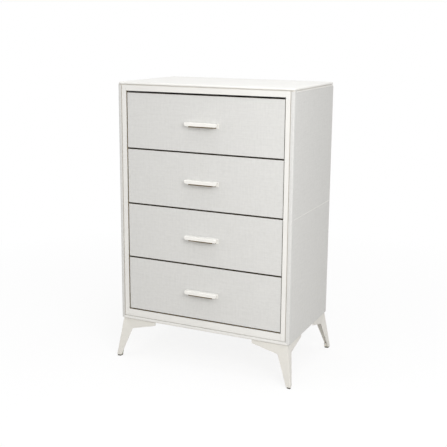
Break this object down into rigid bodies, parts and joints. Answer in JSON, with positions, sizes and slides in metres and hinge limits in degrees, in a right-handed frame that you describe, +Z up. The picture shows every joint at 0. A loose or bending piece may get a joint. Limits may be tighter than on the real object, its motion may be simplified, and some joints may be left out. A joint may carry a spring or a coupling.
{
  "type": "chest of drawers",
  "caption": "Tall narrow chest of inset drawers in a white beaded frame with linen-textured fronts and sides, on splayed folded metal corner legs.",
  "frame": {"origin": "on the floor under the middle of the chest", "axes": "+Z up, -Y out of the drawer fronts, +X to the right as seen from the front"},
  "size_m": [0.7432, 0.4672, 1.094],
  "materials": {
    "white_lacquer": "smooth white satin lacquer on board",
    "linen_foil": "board with a fine linen-textured pale grey foil",
    "white_foil_board": "matt white foil on particle board",
    "hardboard": "white-faced hardboard",
    "white_powder_coat": "white powder coat on folded sheet steel",
    "handle_coat": "white coated metal",
    "runner_steel": "pale epoxy-coated steel",
    "glide_plastic": "dark grey moulded plastic"
  },
  "bodies": {
    "case": {"top_panel": "white_lacquer", "left_stile": "white_lacquer", "right_stile": "white_lacquer", "top_rail": "white_lacquer", "bottom_rail": "white_lacquer", "left_side_panel": "linen_foil", "right_side_panel": "linen_foil", "left_joint_strip": "white_lacquer", "right_joint_strip": "white_lacquer", "bottom_panel": "white_foil_board", "back_panel": "hardboard", "cross_rail": "white_foil_board", "leg_back_right": "white_powder_coat", "glide_back_right": "glide_plastic", "leg_back_left": "white_powder_coat", "glide_back_left": "glide_plastic", "leg_front_left": "white_powder_coat", "glide_front_left": "glide_plastic", "leg_front_right": "white_powder_coat", "glide_front_right": "glide_plastic", "cabinet_runner_1_left": "runner_steel", "cabinet_runner_1_right": "runner_steel", "cabinet_runner_2_left": "runner_steel", "cabinet_runner_2_right": "runner_steel", "cabinet_runner_3_left": "runner_steel", "cabinet_runner_3_right": "runner_steel", "cabinet_runner_4_left": "runner_steel", "cabinet_runner_4_right": "runner_steel"},
    "drawer_1": {"drawer_1_front": "linen_foil", "drawer_1_side_left": "white_foil_board", "drawer_1_side_right": "white_foil_board", "drawer_1_back": "white_foil_board", "drawer_1_bottom": "hardboard", "drawer_1_handle": "handle_coat", "drawer_1_runner_left": "runner_steel", "drawer_1_runner_right": "runner_steel"},
    "drawer_2": {"drawer_2_front": "linen_foil", "drawer_2_side_left": "white_foil_board", "drawer_2_side_right": "white_foil_board", "drawer_2_back": "white_foil_board", "drawer_2_bottom": "hardboard", "drawer_2_handle": "handle_coat", "drawer_2_runner_left": "runner_steel", "drawer_2_runner_right": "runner_steel"},
    "drawer_3": {"drawer_3_front": "linen_foil", "drawer_3_side_left": "white_foil_board", "drawer_3_side_right": "white_foil_board", "drawer_3_back": "white_foil_board", "drawer_3_bottom": "hardboard", "drawer_3_handle": "handle_coat", "drawer_3_runner_left": "runner_steel", "drawer_3_runner_right": "runner_steel"},
    "drawer_4": {"drawer_4_front": "linen_foil", "drawer_4_side_left": "white_foil_board", "drawer_4_side_right": "white_foil_board", "drawer_4_back": "white_foil_board", "drawer_4_bottom": "hardboard", "drawer_4_handle": "handle_coat", "drawer_4_runner_left": "runner_steel", "drawer_4_runner_right": "runner_steel"}
  },
  "joints": [
    {"name": "drawer_1_slide", "type": "slide", "parent": "case", "child": "drawer_1", "axis": [0, -1, 0], "range_m": [0, 0.3]},
    {"name": "drawer_2_slide", "type": "slide", "parent": "case", "child": "drawer_2", "axis": [0, -1, 0], "range_m": [0, 0.3]},
    {"name": "drawer_3_slide", "type": "slide", "parent": "case", "child": "drawer_3", "axis": [0, -1, 0], "range_m": [0, 0.3]},
    {"name": "drawer_4_slide", "type": "slide", "parent": "case", "child": "drawer_4", "axis": [0, -1, 0], "range_m": [0, 0.3]}
  ]
}
